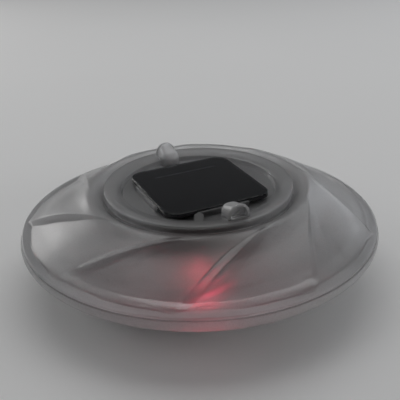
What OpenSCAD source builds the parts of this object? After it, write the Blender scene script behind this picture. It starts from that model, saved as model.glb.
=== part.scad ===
// Floating solar pool light: a sealed disc of two frosted shells with a swirled dome.
// A round lid on top carries the solar panel. It turns and lifts off a bayonet mount.
// Under it an electronics module hangs into the hull, with its lamps pointing down.
// Heights inside the modules count from the hull's widest plane; raised() puts that plane
// hull_depth above the foot ring, so the model stands on z = 0.

/* [Hull] */
// Diameter at the widest plane
hull_d = 180; // [178:1:184]
// Depth of the hull below its widest plane, with the foot ring
hull_depth = 27; // [26:0.5:30]
// Rise of the dome if it ran on to its middle
dome_rise = 42.9; // [42:0.1:43.5]
// Exponent that shapes the dome's slope
dome_power = 0.763; // [0.75:0.001:0.77]
// Wall of the lower shell
lower_wall = 2.2; // [1.8:0.1:2.4]

/* [Swirl] */
// Number of swirl blades
blade_count = 9; // [6:1:10]
// Height of a blade's step
blade_step = 2.8; // [0.5:0.1:3]
// How far a ridge sweeps round, in degrees
blade_sweep = 15.5; // [0:0.5:18]
// Turn of the whole swirl, in degrees from the front
swirl_turn = -47; // [-180:1:180]

/* [Lid] */
// Outer diameter of the lid ring
lid_d = 94.6; // [94.2:0.1:94.8]
// Turn of the panel, ribs and lugs, in degrees from the front
lid_turn = 24.5; // [-180:0.5:180]
// Distance of a grip lug's mouth from the axis
lug_r = 43.7; // [43.2:0.1:43.9]
// Half the width of a grip lug
lug_half_w = 5; // [4.6:0.1:5.2]

/* [Solar panel] */
// Side of the square panel
panel_w = 55; // [48:0.5:56]
// Radius of the panel's corners
panel_corner_r = 7; // [5:0.5:10]

/* [Module] */
// Outer radius of the electronics cup
cup_r = 31; // [30.5:0.1:31.2]
// Radius of a lamp
led_r = 2.5; // [1.5:0.1:2.6]
// Length of the battery cell's body
cell_len = 49.5; // [44:0.1:49.5]

/* [Hidden] */

frosted = [0.62, 0.63, 0.65, 0.55];
dark_plastic = [0.16, 0.16, 0.17];
steel = [0.7, 0.71, 0.73];
brass_colour = [0.8, 0.65, 0.35];

hull_r = hull_d / 2;
fine = 96;
round_fn = 48;

// Seam between the shells
seam_low = 1.3;
seam_high = 1.9;
tongue_out_r = hull_r - 6;
tongue_in_r = hull_r - 7.4;
tongue_foot = -1.0;

// Rim flange outside the blades
flange_top = 3.1;
flange_slope = 0.05;
rim_edge_r = hull_r - 0.8;
rim_corner = 0.6;

// Bowl: a tight rim round that meets a wide bottom round, and a foot ring
rim_round = 5.5;
bowl_round = 90;
rounds_meet = 50;
foot_in_r = 23.5;
foot_out_r = 27;
foot_draft = 0.4;

// Dome between the lid's moat and the rim
shell_drop = 4.6;
shoulder_r = 57;
moat_r = 48.2;
moat_depth = 7.2;
fade_start_r = 52.5;
fade_length = 13.5;
rim_fade_r = 77;
rim_fade_length = 8;
blade_end_r = 0.945 * hull_r;
blade_flare = 2.3;
swirl_pole_r = 0.5 * hull_r;
blade_marks = [0, 0.07, 0.16, 0.26, 0.38, 0.50, 0.62, 0.74, 0.86, 0.95];
swirl_radii = [83, 80, 77, 74, 71, 68, 65, 62, 59, 57, 55, 53, 51, 49.5, moat_r];

// Neck that the lid and the module fit
neck_out_r = 45.4;
neck_in_r = 42.4;
neck_top = 19.3;
ledge_in_r = 38.5;
ledge_top = 10.4;
ledge_low = 8.8;
ledge_root_r = 44;
inside_radii = [48, 54, 61, 68, 76, tongue_in_r];

// Lid
lid_r = lid_d / 2;
lid_edge_low = 17.4;
lid_under = 19.6;
ring_in_r = 38.6;
floor_top = 17.6;
floor_low = 16;
plug_r = 42;
plug_in_r = 39.6;
plug_low = 13.2;
groove_low = 15.2;
groove_high = 16.8;
groove_deep = 1.1;
seal_wire_r = 0.72;
ear_top = 14.2;
ear_reach = 1.5;
ear_arc = 20;
rib_len = 27;
rib_w = 1.2;
rib_top = 20.1;
lug_top = 28;
lug_len = 6.9;
lug_block = 24;
lug_slope = 17;
lug_corner_r = 3.8;
lug_foot = 19.8;
lug_axis = 22.6;
lug_rim = 0.4;
lug_wall = 0.85;
lug_sill = 21.2;
lug_pocket = 2.8;
tab_half_w = 2.3;
tab_r = 34.3;
tab_len = 5.1;
tab_top = 20.3;

// Panel layers
pad_h = 0.9;
board_low = floor_top + pad_h;
board_h = 1.4;
cell_h = 0.3;
ribbon_h = 0.1;
panel_top = board_low + 2.4;
wafer_w = panel_w - 3;
ribbon_off = 0.296 * panel_w;
ribbon_len = 0.62 * panel_w;

// Module
flange_low = 11;
flange_high = 12.8;
flange_r = 42;
cup_wall = 1.6;
cup_low = -8;
cup_floor = cup_low + cup_wall;
board_r = 27.5;
pcb_low = -5.6;
pcb_top = -4;
led_ring_r = 5.5;
led_flange_r = led_r + 0.4;
cell_r = 7.1;
cell_axis = 4.6;
holder_half = 27.8;
holder_half_w = 8.8;
holder_wall = 1.2;
boss_r = 23;
hook_in_r = 36.2;
hook_web_r = 37.6;
hook_out_r = 39.2;
hook_low = 14.5;
hook_top = 15.6;
hook_lag = 32;
hook_arc = 24;
stop_arc = 3;
cover_r = 35.4;
cover_top = 14.2;
cover_screw_r = 33.2;
housing_screw_r = 40.2;
pin_r = [10.2, 14.5];
pin_low = 10;
wire_high = pin_low - 0.25;
wire_low = pcb_top + 0.25;
wire_bow = 2.2;
switch_y = 20;
switch_travel = 2.6;
switch_w = 10;
switch_low = 8;
switch_top = 12.78;
slider_low = 11.3;
slider_top = 12.9;

function clamp(t) = min(1, max(0, t));
function smooth(t) = let (c = clamp(t)) c * c * (3 - 2 * c);
function arc(centre, r, from, to, steps) =
    [for (i = [0:steps]) let (a = from + (to - from) * i / steps) centre + r * [cos(a), sin(a)]];

// Height of the dome's top envelope, with the moat round the lid
function dome(r) =
    dome_rise * pow(max(0, 1 - r / hull_r), dome_power)
    - moat_depth * pow(clamp((shoulder_r - r) / (shoulder_r - moat_r)), 2);
function rim_flange(r) = flange_top + flange_slope * (rim_edge_r - rim_corner - r);
// Step between one blade and the next at a radius
function step_at(r) =
    blade_step * smooth((r - fade_start_r) / fade_length)
    * (1 - 0.35 * smooth((r - rim_fade_r) / rim_fade_length));
// A blade climbs from a flat ledge to its ridge, then drops steeply
function saw(t) = t < 0.07 ? 1 - t / 0.07 : (t < 0.26 ? 0.03 : 0.03 + 0.97 * (t - 0.26) / 0.74);
function blade_height(r, t) = max(rim_flange(r) + 0.05, dome(r) - step_at(r) * (1 - saw(t)));
// Outer end of the blades, flared at each ridge
function blade_end(t) =
    let (d = min(abs(t - 0.06), abs(t - 1.06)))
    blade_end_r + blade_flare * pow(max(0, 1 - pow(d / 0.25, 2)), 2);
// Angle by which a ridge has turned at a radius
function ridge_turn(r) =
    let (q = max(r, fade_start_r))
    blade_sweep * pow(max(0, (blade_end_r - q) / (q - swirl_pole_r)), 0.8);

// One closed outline per column: [radius, height, turn] from the seam, over the blades,
// round the neck and back along the inside
function shell_outline(t) = concat(
    [
        [rim_edge_r, seam_high, 0],
        [rim_edge_r, flange_top - rim_corner, 0],
        [rim_edge_r - rim_corner, flange_top, 0],
        [blade_end(t) + 0.4, rim_flange(blade_end(t) + 0.4), 0],
        [blade_end(t), blade_height(blade_end(t), t), 0]
    ],
    [for (r = swirl_radii) [r, blade_height(r, t), ridge_turn(r)]],
    [for (p = [
        [neck_out_r, dome(moat_r)], [neck_out_r, neck_top], [neck_in_r, neck_top],
        [neck_in_r, ledge_top], [ledge_in_r, ledge_top], [ledge_in_r, ledge_low], [ledge_root_r, ledge_low]
    ]) [p[0], p[1], ridge_turn(moat_r)]],
    [for (r = inside_radii) [r, dome(r) - shell_drop, ridge_turn(r)]],
    [
        [tongue_in_r, tongue_foot, 0],
        [tongue_out_r, tongue_foot, 0],
        [tongue_out_r, seam_high, 0]
    ]
);

// Surface that joins a loop of columns, each a closed outline of the same number of points
module column_loop(columns) {
    m = len(columns[0]);
    n = len(columns);
    points = [for (column = columns) each column];
    faces = [
        for (i = [0:n - 1], j = [0:m - 1])
            let (a = i * m + j, b = i * m + (j + 1) % m, c = ((i + 1) % n) * m + j,
                 d = ((i + 1) % n) * m + (j + 1) % m)
            each [[a, b, c], [b, d, c]]
    ];
    polyhedron(points, faces, convexity = 10);
}

// Round tube along a list of points
function ring_at(p, dir, r, sides) =
    let (ref = abs(dir[2]) > 0.9 * norm(dir) ? [1, 0, 0] : [0, 0, 1],
         u0 = cross(ref, dir), u = u0 / norm(u0), v0 = cross(dir, u), v = v0 / norm(v0))
    [for (k = [0:sides - 1]) p + r * (cos(360 * k / sides) * u + sin(360 * k / sides) * v)];

module tube(path, r, sides = 8) {
    n = len(path);
    rings = [for (i = [0:n - 1]) ring_at(path[i], path[min(n - 1, i + 1)] - path[max(0, i - 1)], r, sides)];
    points = [for (ring = rings) each ring];
    walls = [
        for (i = [0:n - 2], k = [0:sides - 1])
            let (a = i * sides + k, b = i * sides + (k + 1) % sides)
            each [[a, a + sides, b], [b, a + sides, b + sides]]
    ];
    ends = [[for (k = [0:sides - 1]) k], [for (k = [sides - 1:-1:0]) (n - 1) * sides + k]];
    polyhedron(points, concat(walls, ends), convexity = 6);
}

module raised() { translate([0, 0, hull_depth]) children(); }
module lid_frame() { raised() rotate([0, 0, lid_turn]) children(); }
module thirds(start = 0) { for (i = [0:2]) rotate([0, 0, start + 120 * i]) children(); }
module ring(outer, inner, low, high) {
    translate([0, 0, low]) difference() {
        cylinder(r = outer, h = high - low, $fn = fine);
        translate([0, 0, -1]) cylinder(r = inner, h = high - low + 2, $fn = fine);
    }
}
module rounded_plate(w, corner, low, high) {
    translate([0, 0, low]) union() {
        translate([-w / 2, corner - w / 2, 0]) cube([w, w - 2 * corner, high - low]);
        translate([corner - w / 2, -w / 2, 0]) cube([w - 2 * corner, w, high - low]);
        for (x = [-1, 1], y = [-1, 1])
            translate([x * (w / 2 - corner), y * (w / 2 - corner), 0])
                cylinder(r = corner, h = high - low, $fn = round_fn);
    }
}

module upper_shell() {
    color(frosted) raised() column_loop([
        for (b = [0:blade_count - 1], t = blade_marks) [
            for (p = shell_outline(t))
                let (a = -90 + swirl_turn + p[2] + (b + t) * 360 / blade_count)
                [p[0] * cos(a), p[0] * sin(a), p[1]]
        ]
    ]);
}

module lower_shell() {
    c1 = [hull_r - rim_round, 0];
    c2 = c1 + (rim_round - bowl_round) * [cos(rounds_meet), -sin(rounds_meet)];
    bottom = c2[1] - bowl_round;
    socket_r = tongue_out_r + 0.3;
    inner_from = -acos((socket_r - c2[0]) / (bowl_round - lower_wall));
    color(frosted) raised() rotate_extrude($fn = fine) polygon(concat(
        [
            [0, bottom], [foot_in_r, bottom], [foot_in_r + foot_draft, -hull_depth],
            [foot_out_r - foot_draft, -hull_depth], [foot_out_r, bottom]
        ],
        arc(c2, bowl_round, -90, -rounds_meet, 14),
        arc(c1, rim_round, -rounds_meet + 7, 0, 7),
        [[hull_r - 0.5, seam_low], [socket_r, seam_low]],
        arc(c2, bowl_round - lower_wall, inner_from, -90, 12),
        [[0, bottom + lower_wall]]
    ));
}

module seam_gasket() {
    color([0.62, 0.63, 0.65, 0.8]) raised() ring(rim_edge_r - 0.3, tongue_out_r + 0.3, seam_low, seam_high);
}

module module_housing() {
    color(dark_plastic) raised() difference() {
        union() {
            rotate_extrude($fn = fine) polygon([
                [0, cup_low], [cup_r - 1.5, cup_low], [cup_r, cup_low + 1.5], [cup_r, flange_low],
                [flange_r, flange_low], [flange_r, flange_high], [cup_r - cup_wall, flange_high],
                [cup_r - cup_wall, cup_floor], [0, cup_floor]
            ]);
            // Bosses under the circuit board
            thirds(90) translate([boss_r, 0, cup_floor - 0.2])
                cylinder(r = 1.9, h = 0.2 + pcb_low - cup_floor, $fn = 24);
            // Bayonet hooks, each with a stop at its far end
            thirds(lid_turn - hook_lag - hook_arc / 2) {
                rotate_extrude(angle = hook_arc, $fn = fine) polygon([
                    [hook_in_r, flange_high - 0.2], [hook_web_r, flange_high - 0.2],
                    [hook_web_r, hook_low], [hook_out_r, hook_low],
                    [hook_out_r, hook_top], [hook_in_r, hook_top]
                ]);
                rotate_extrude(angle = stop_arc, $fn = fine) polygon([
                    [hook_web_r - 0.2, flange_high - 0.2], [hook_out_r, flange_high - 0.2],
                    [hook_out_r, hook_low + 0.2], [hook_web_r - 0.2, hook_low + 0.2]
                ]);
            }
        }
        thirds(-90) translate([led_ring_r, 0, cup_low - 1]) cylinder(r = led_r + 0.25, h = cup_wall + 2, $fn = 32);
        thirds(90) translate([boss_r, 0, cup_low + 0.6]) cylinder(r = 0.82, h = 4, $fn = 24);
        thirds(30) translate([cover_screw_r, 0, flange_low - 1]) cylinder(r = 1.12, h = 4, $fn = 24);
        thirds(0) translate([housing_screw_r, 0, flange_low - 1]) cylinder(r = 1.02, h = 4, $fn = 24);
        thirds(0) translate([housing_screw_r, 0, flange_high - 0.8])
            cylinder(r1 = 1.02, r2 = 1.62, h = 0.81, $fn = 24);
    }
}

module module_gasket() {
    color([0.1, 0.1, 0.1]) raised() difference() {
        ring(neck_in_r - 0.2, ledge_in_r + 0.1, ledge_top, flange_low);
        thirds(0) translate([housing_screw_r, 0, ledge_top - 1]) cylinder(r = 1.05, h = 4, $fn = 24);
    }
}

// Countersunk screws through the module's flange into the neck's ledge
module housing_screws() {
    color(steel) raised() thirds(0) translate([housing_screw_r, 0, 0]) difference() {
        union() {
            translate([0, 0, 7.2]) cylinder(r = 1, h = flange_high - 7.2, $fn = 24);
            translate([0, 0, flange_high - 0.75]) cylinder(r1 = 1, r2 = 1.55, h = 0.75, $fn = 24);
        }
        cross_recess(flange_high, 1.7, 0.36);
    }
}

module cross_recess(top, span, deep) {
    for (a = [0, 90]) rotate([0, 0, a])
        translate([-span / 2, -0.2, top - deep]) cube([span, 0.4, deep + 0.1]);
}

module circuit_board() {
    color([0.05, 0.3, 0.16]) raised() difference() {
        translate([0, 0, pcb_low]) cylinder(r = board_r, h = pcb_top - pcb_low, $fn = fine);
        thirds(90) translate([boss_r, 0, pcb_low - 1]) cylinder(r = 0.85, h = 4, $fn = 24);
    }
}

module board_components() {
    color([0.12, 0.12, 0.13]) raised() {
        // Controller, charge chip and two diodes
        translate([9, -19, pcb_top]) cube([7, 5, 1.7]);
        translate([-14, -18, pcb_top]) cube([4, 3, 1.2]);
        for (x = [-6, 4]) translate([x, 17, pcb_top]) cube([2, 4, 1.3]);
        // Capacitor and coil
        translate([13, 15, pcb_top]) cylinder(r = 3, h = 7, $fn = 32);
        translate([-14, 15, pcb_top]) cylinder(r = 3.2, h = 4.2, $fn = 32);
    }
}

module board_screws() {
    color(steel) raised() thirds(90) translate([boss_r, 0, 0]) difference() {
        union() {
            translate([0, 0, -6.9]) cylinder(r = 0.8, h = 3.2, $fn = 24);
            translate([0, 0, pcb_top]) cylinder(r = 1.6, h = 1, $fn = 24);
        }
        cross_recess(pcb_top + 1, 2, 0.5);
    }
}

module lamp(tint, angle) {
    tip = -11.4;
    color(tint) raised() rotate([0, 0, angle]) translate([led_ring_r, 0, 0]) union() {
        translate([0, 0, cup_floor]) cylinder(r = led_flange_r, h = pcb_low - cup_floor, $fn = 32);
        translate([0, 0, tip]) cylinder(r = led_r, h = cup_floor - tip + 0.1, $fn = 32);
        translate([0, 0, tip]) sphere(r = led_r, $fn = 32);
    }
}

module battery_holder() {
    w = 2 * holder_half_w;
    color([0.1, 0.1, 0.1]) raised() translate([0, 0, pcb_top]) {
        translate([-holder_half, -holder_half_w, 0]) cube([2 * holder_half, w, 1]);
        for (y = [-holder_half_w, holder_half_w - holder_wall])
            translate([-holder_half, y, 0]) cube([2 * holder_half, holder_wall, 7]);
        for (x = [-holder_half, holder_half - holder_wall])
            translate([x, -7.7, 0]) cube([holder_wall, 15.4, 12]);
    }
}

module battery_cell() {
    start = 0.35 - cell_len / 2;
    color([0.15, 0.35, 0.2]) raised() translate([start, 0, cell_axis]) rotate([0, 90, 0]) union() {
        cylinder(r = cell_r, h = cell_len, $fn = 64);
        cylinder(r = 2.7, h = cell_len + 1, $fn = 32);
    }
}

module battery_spring() {
    turns = 2.5;
    span = 1.1;
    steps = 30;
    color(steel) raised() translate([-holder_half + holder_wall, 0, cell_axis]) {
        translate([0, -4, -4]) cube([0.3, 8, 8]);
        tube([for (i = [0:steps])
            let (a = 360 * turns * i / steps, r = 5.2 - 2.4 * i / steps)
            [0.6 + span * i / steps, r * cos(a), r * sin(a)]], 0.3, 8);
    }
}

module battery_contact() {
    color(brass_colour) raised() translate([holder_half - holder_wall - 0.3, 0, 0]) {
        translate([0, -4, pcb_top + 1]) cube([0.3, 8, cell_axis - pcb_top + 3]);
        translate([-0.14, 0, cell_axis]) rotate([0, 90, 0]) cylinder(r = 2, h = 0.3, $fn = 32);
    }
}

module module_cover() {
    color(dark_plastic) raised() difference() {
        rotate_extrude($fn = fine) polygon([
            [0, flange_high], [cover_r, flange_high], [cover_r, cover_top - 0.5],
            [cover_r - 0.5, cover_top], [0, cover_top]
        ]);
        thirds(30) translate([cover_screw_r, 0, flange_high - 1]) cylinder(r = 1.3, h = 4, $fn = 24);
        for (r = pin_r) translate([0, -r, flange_high - 1]) cylinder(r = 1.22, h = 4, $fn = 24);
        translate([-4.6, switch_y - 2.2, flange_high - 1]) cube([9.2, 4.4, 4]);
    }
}

module cover_screws() {
    color(steel) raised() thirds(30) translate([cover_screw_r, 0, 0]) difference() {
        union() {
            translate([0, 0, 8.6]) cylinder(r = 1.1, h = 6, $fn = 24);
            translate([0, 0, cover_top]) cylinder(r = 2, h = 1.1, $fn = 32);
        }
        cross_recess(cover_top + 1.1, 2.6, 0.6);
    }
}

module switch_body() {
    color([0.55, 0.56, 0.58]) raised() difference() {
        translate([-switch_w / 2, switch_y - 2.6, switch_low]) cube([switch_w, 5.2, switch_top - switch_low]);
        translate([-3.1, switch_y - 1.1, switch_top - 1.6]) cube([6.2, 2.2, 2]);
    }
}

// Slider of the on/off switch, drawn in its on position
module switch_slider() {
    color([0.05, 0.05, 0.05]) raised() translate([switch_travel / 2, switch_y, 0]) {
        translate([-1.4, -1, slider_low]) cube([2.8, 2, slider_top - slider_low]);
        for (x = [-1.1, -0.2, 0.7]) translate([x, -1, slider_top - 0.1]) cube([0.4, 2, 0.3]);
    }
}

// Sprung pins that touch the rings under the lid
module contact_pins() {
    color(brass_colour) raised() for (r = pin_r) translate([0, -r, 0]) union() {
        translate([0, 0, pin_low]) cylinder(r = 1.2, h = 4.6, $fn = 32);
        translate([0, 0, pin_low]) cylinder(r = 0.7, h = floor_low - 0.5 - pin_low, $fn = 32);
    }
}

module supply_wires() {
    steps = 12;
    color([0.7, 0.1, 0.08]) raised() for (i = [0, 1])
        tube([for (k = [0:steps])
            let (s = k / steps)
            [(i == 0 ? -wire_bow : wire_bow) * sin(180 * s), -pin_r[i], wire_high + (wire_low - wire_high) * s]],
            0.45, 8);
}

module lid() {
    color(frosted) raised() union() {
        difference() {
            rotate_extrude($fn = fine) polygon([
                [0, floor_low], [plug_in_r, floor_low], [plug_in_r, plug_low], [plug_r - 0.4, plug_low],
                [plug_r, plug_low + 0.4], [plug_r, groove_low], [plug_r - groove_deep, groove_low],
                [plug_r - groove_deep, groove_high], [plug_r, groove_high], [plug_r, lid_under],
                [lid_r - 1.4, lid_under], [lid_r - 1.4, lid_edge_low], [lid_r, lid_edge_low],
                [lid_r, 20.7], [lid_r - 0.5, 21.2], [46, 21.25], [43.5, 21], [41, 20.6],
                [39.4, 20.2], [ring_in_r, 19.8], [ring_in_r - 0.4, floor_top], [0, floor_top]
            ]);
            rotate([0, 0, lid_turn]) for (r = pin_r) translate([r, 0, floor_low - 1])
                cylinder(r = 0.42, h = 4, $fn = 24);
        }
        // Ears of the bayonet
        thirds(lid_turn - ear_arc / 2) rotate_extrude(angle = ear_arc, $fn = fine) polygon([
            [plug_in_r - ear_reach, plug_low], [plug_in_r + 0.3, plug_low],
            [plug_in_r + 0.3, ear_top], [plug_in_r - ear_reach, ear_top]
        ]);
        // Ribs that frame the panel
        rotate([0, 0, lid_turn]) for (a = [0:90:270]) rotate([0, 0, a])
            translate([panel_w / 2 + 0.2, -rib_len / 2, floor_top - 0.2])
                cube([rib_w, rib_len, rib_top - floor_top + 0.2]);
        // Round-ended index tab that runs in from the ring
        rotate([0, 0, -90]) {
            translate([tab_r, -tab_half_w, floor_top - 0.2])
                cube([tab_len, 2 * tab_half_w, tab_top - floor_top + 0.2]);
            translate([tab_r, 0, floor_top - 0.2])
                cylinder(r = tab_half_w, h = tab_top - floor_top + 0.2, $fn = round_fn);
        }
        for (a = [-90, 90]) rotate([0, 0, lid_turn + a]) grip_lug();
    }
}

// Hood whose top falls towards its round closed end; the arched mouth faces outwards
module grip_lug() {
    back = lug_r - lug_len;
    flat = lug_half_w - lug_corner_r;
    difference() {
        union() {
            intersection() {
                union() {
                    translate([back, 0, floor_top - 0.1]) cylinder(r = lug_half_w, h = 12, $fn = round_fn);
                    translate([back, -lug_half_w, floor_top - 0.1]) cube([lug_r - back, 2 * lug_half_w, 12]);
                }
                translate([lug_r, 0, lug_top]) rotate([0, -lug_slope, 0]) union() {
                    for (s = [-flat, flat]) translate([4 - lug_block, s, -lug_corner_r]) rotate([0, 90, 0])
                        cylinder(r = lug_corner_r, h = lug_block, $fn = round_fn);
                    translate([4 - lug_block, -flat, -lug_corner_r]) cube([lug_block, 2 * flat, lug_corner_r]);
                    translate([4 - lug_block, -lug_half_w, -lug_corner_r - 14])
                        cube([lug_block, 2 * lug_half_w, 14]);
                }
            }
            arch(lug_r - 1, 1, lug_half_w + lug_rim, lug_foot);
        }
        arch(lug_r - lug_pocket, lug_pocket + 2, lug_half_w - lug_wall, lug_sill);
        // Slanted slot in the pocket's end
        translate([lug_r - lug_pocket - 1.2, 0, lug_axis]) rotate([30, 0, 0])
            translate([0, -1.8, -0.45]) cube([2, 3.6, 0.9]);
        // Room for the neck under the ring
        translate([plug_in_r - 0.2, -10, 15]) cube([10, 20, lug_foot - 15]);
    }
}

// Half-round arch on straight sides, drawn out along the radius
module arch(from, length, r, foot) {
    translate([from, 0, lug_axis]) rotate([0, 90, 0]) cylinder(r = r, h = length, $fn = round_fn);
    translate([from, -r, foot]) cube([length, 2 * r, lug_axis - foot]);
}

module lid_seal() {
    color([0.1, 0.1, 0.1]) raised() rotate_extrude($fn = fine)
        translate([neck_in_r - 0.04 - seal_wire_r, (groove_low + groove_high) / 2])
            circle(r = seal_wire_r, $fn = 32);
}

module contact_rings() {
    color(brass_colour) raised() for (r = pin_r) ring(r + 1, r - 1, floor_low - 0.45, floor_low);
}

// Short leads from the panel down to the contact rings
module panel_leads() {
    color([0.75, 0.4, 0.2]) lid_frame() for (r = pin_r)
        translate([r, 0, floor_low]) cylinder(r = 0.4, h = board_low - floor_low, $fn = 24);
}

module panel_pad() {
    color([0.2, 0.2, 0.2]) lid_frame() difference() {
        translate([-22, -22, floor_top]) cube([44, 44, pad_h]);
        for (r = pin_r) translate([r, 0, floor_top - 1]) cylinder(r = 0.6, h = 4, $fn = 24);
    }
}

module panel_board() {
    color([0.06, 0.06, 0.07]) lid_frame() rounded_plate(panel_w, panel_corner_r, board_low, board_low + board_h);
}

module solar_cell() {
    low = board_low + board_h;
    color([0.03, 0.03, 0.05]) lid_frame() rounded_plate(wafer_w, panel_corner_r - 1, low, low + cell_h);
}

module cell_ribbon() {
    color(steel) lid_frame()
        translate([-ribbon_len / 2, ribbon_off - 0.25, board_low + board_h + cell_h])
            cube([ribbon_len, 0.5, ribbon_h]);
}

module panel_resin() {
    low = board_low + board_h;
    color([0.1, 0.1, 0.12, 0.5]) lid_frame() difference() {
        rounded_plate(panel_w, panel_corner_r, low, panel_top);
        rounded_plate(wafer_w + 0.04, panel_corner_r - 1, low - 1, low + cell_h);
        translate([-ribbon_len / 2, ribbon_off - 0.25, low]) cube([ribbon_len, 0.5, cell_h + ribbon_h]);
    }
}

upper_shell();
lower_shell();
seam_gasket();
module_housing();
module_gasket();
housing_screws();
circuit_board();
board_components();
board_screws();
lamp([0.9, 0.1, 0.1], -90);  // led_red
lamp([0.1, 0.7, 0.2], 30);  // led_green
lamp([0.1, 0.2, 0.9], 150);  // led_blue
battery_holder();
battery_cell();
battery_spring();
battery_contact();
module_cover();
cover_screws();
switch_body();
switch_slider();
contact_pins();
supply_wires();
lid();
lid_seal();
contact_rings();
panel_leads();
panel_pad();
panel_board();
solar_cell();
cell_ribbon();
panel_resin();
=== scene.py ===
"""Looks of the floating pool light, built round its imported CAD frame.

Sizes are in millimetres and heights count from the hull's widest plane, as in the CAD source;
the mesh helpers turn them into metres above the foot ring.
"""

import math

import bmesh
import bpy
from mathutils import Matrix, Vector


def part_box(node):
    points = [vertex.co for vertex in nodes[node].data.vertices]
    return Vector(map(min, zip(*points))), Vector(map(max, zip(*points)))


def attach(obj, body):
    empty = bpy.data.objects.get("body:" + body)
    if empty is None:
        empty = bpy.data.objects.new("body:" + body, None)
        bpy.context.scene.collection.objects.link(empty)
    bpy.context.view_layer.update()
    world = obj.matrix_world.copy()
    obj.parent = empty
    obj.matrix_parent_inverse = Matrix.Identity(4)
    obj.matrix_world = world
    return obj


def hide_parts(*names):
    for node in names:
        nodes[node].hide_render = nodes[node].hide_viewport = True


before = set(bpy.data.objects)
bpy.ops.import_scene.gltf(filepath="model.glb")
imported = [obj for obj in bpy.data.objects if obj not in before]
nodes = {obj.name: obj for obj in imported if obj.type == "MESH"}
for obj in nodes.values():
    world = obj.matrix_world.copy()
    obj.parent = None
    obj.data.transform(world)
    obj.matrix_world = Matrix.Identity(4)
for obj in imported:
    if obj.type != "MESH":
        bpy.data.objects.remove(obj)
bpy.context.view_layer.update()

MM = 0.001

# ---------------------------------------------------------------- sizes read from the frame
hull_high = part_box("lower_shell")[1]
seal_low, seal_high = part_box("seam_gasket")

R = hull_high.x / MM                      # radius at the widest plane
SEAM_LOW = 1.3                            # underside of the gasket over the widest plane
DEPTH = seal_low.z / MM - SEAM_LOW        # widest plane above the foot
SEAM_HIGH = seal_high.z / MM - DEPTH
PANEL_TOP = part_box("panel_resin")[1].z / MM - DEPTH
BOARD_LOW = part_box("panel_board")[0].z / MM - DEPTH

# ---------------------------------------------------------------- sizes of the looks
# Dome and its swirled blades
BLADES = 9
SWIRL_TURN = -47.0        # where the first ridge starts, degrees
DOME_H = 42.9             # height its curve would reach on the axis
DOME_POWER = 0.763        # how full the curve is
RIM_EDGE = R - 0.8
RIM_TOP = 3.1             # top of the rim flange
RIM_SLOPE = 0.05
BLADE_END = 0.945 * R
BLADE_START = 52.5
BLADE_FULL = 66.0         # radius where the step reaches its height
BLADE_STEP = 2.8
BLADE_FADE_R = 77.0       # from here the step gets lower towards the rim
BLADE_LEAN = 15.5         # how far a ridge trails round, degrees
DROP_SHARE = 0.07         # share of a blade taken by the steep drop
LEDGE_SHARE = 0.26        # share where the flat ledge ends
TIP_OUT = 2.3             # how far a blade's tip reaches over the rim
DOME_WALL = 1.9

# Neck, tongue and moat
TONGUE_OUT = R - 6.0
TONGUE_IN = R - 7.4
TONGUE_LOW = -1.0
MOAT_R = 48.2
MOAT_DEEP = 7.2
SHOULDER_R = 57.0
NECK_OUT = 45.4
NECK_IN = 42.4
NECK_TOP = 19.3
LEDGE_TOP = 10.4
LEDGE_LOW = 8.8
LEDGE_IN = 38.5

# Bowl and seam
RIM_ROUND = 5.5
BOWL_ROUND = 90.0
BOWL_WALL = 2.2
ROUNDS_MEET = math.radians(50)
FOOT_IN, FOOT_OUT = 23.9, 26.6
SOCKET_LOW = -4.0
SEAM_GAP = 0.04           # air between the gasket and the shells, so their faces don't coincide

# Lid
LID_TURN = 24.5
LID_R = 47.3
FLOOR_TOP = 17.6
FLOOR_LOW = 16.0
PLUG_IN, PLUG_OUT = 39.6, 42.0
PLUG_LOW = 13.2
GROOVE_R = 40.9           # bottom of the O-ring's groove
GROOVE_LOW, GROOVE_HIGH = 15.2, 16.8
BRIM_LOW = 19.6
SKIRT_W = 1.4
SKIRT_LOW = 17.4
RING_TOP = 21.3
RING_IN = 39.2            # inside of this radius a lug stands on the floor, not on the ring
WELL_R = 38.2
RIB_GAP = 0.2
RIB_W = 1.2
RIB_HALF = 13.5
RIB_TOP = 20.1
EARS = 3
EAR_HALF_TURN = 10
EAR_IN, EAR_OUT = 38.1, 39.9
TAB_R = 2.3
TAB_END = -34.3
TAB_ROOT = -39.9
TAB_TOP = 20.3

# Grip lugs on the lid
LUG_MOUTH = 43.7
LUG_HALF_W = 5.0
LUG_TOP = 28.0
LUG_AXIS = 22.6
LUG_FOOT = 19.8
LUG_FALL = 0.306          # drop of the crest per millimetre inwards
LUG_STRAIGHT = 6.9        # depth of the hood before its round end
LUG_SOFT = 3.2            # rounding of the closed end
LIP_OUT = 0.4             # how far the lip of the mouth stands out
POCKET_WALL = 0.85
POCKET_DEEP = 2.8
POCKET_FOOT = 21.2
SLOT_TILT = 30

# Panel
PANEL_W = 55.0
PANEL_CORNER = 7.0
PANEL_SEAT = 20.16        # face of the board, under the wafer
WAFER_INSET = 1.5
RIBBON_HALF = 17.0
RIBBON_HALF_W = 0.24
RIBBON_Y = 0.296 * PANEL_W

# ---------------------------------------------------------------- colours, painted glow and painted shade
GLOW_RED = (1.0, 0.10, 0.17)
GLOW_FALL = 1.8
# Pink painted into the shells' colour where the lamp's glow is painted
PAINTED_GLOW_TINT = (0.8, 0.54, 0.6)
WHITE_PLASTIC = (0.84, 0.84, 0.85)
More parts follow.
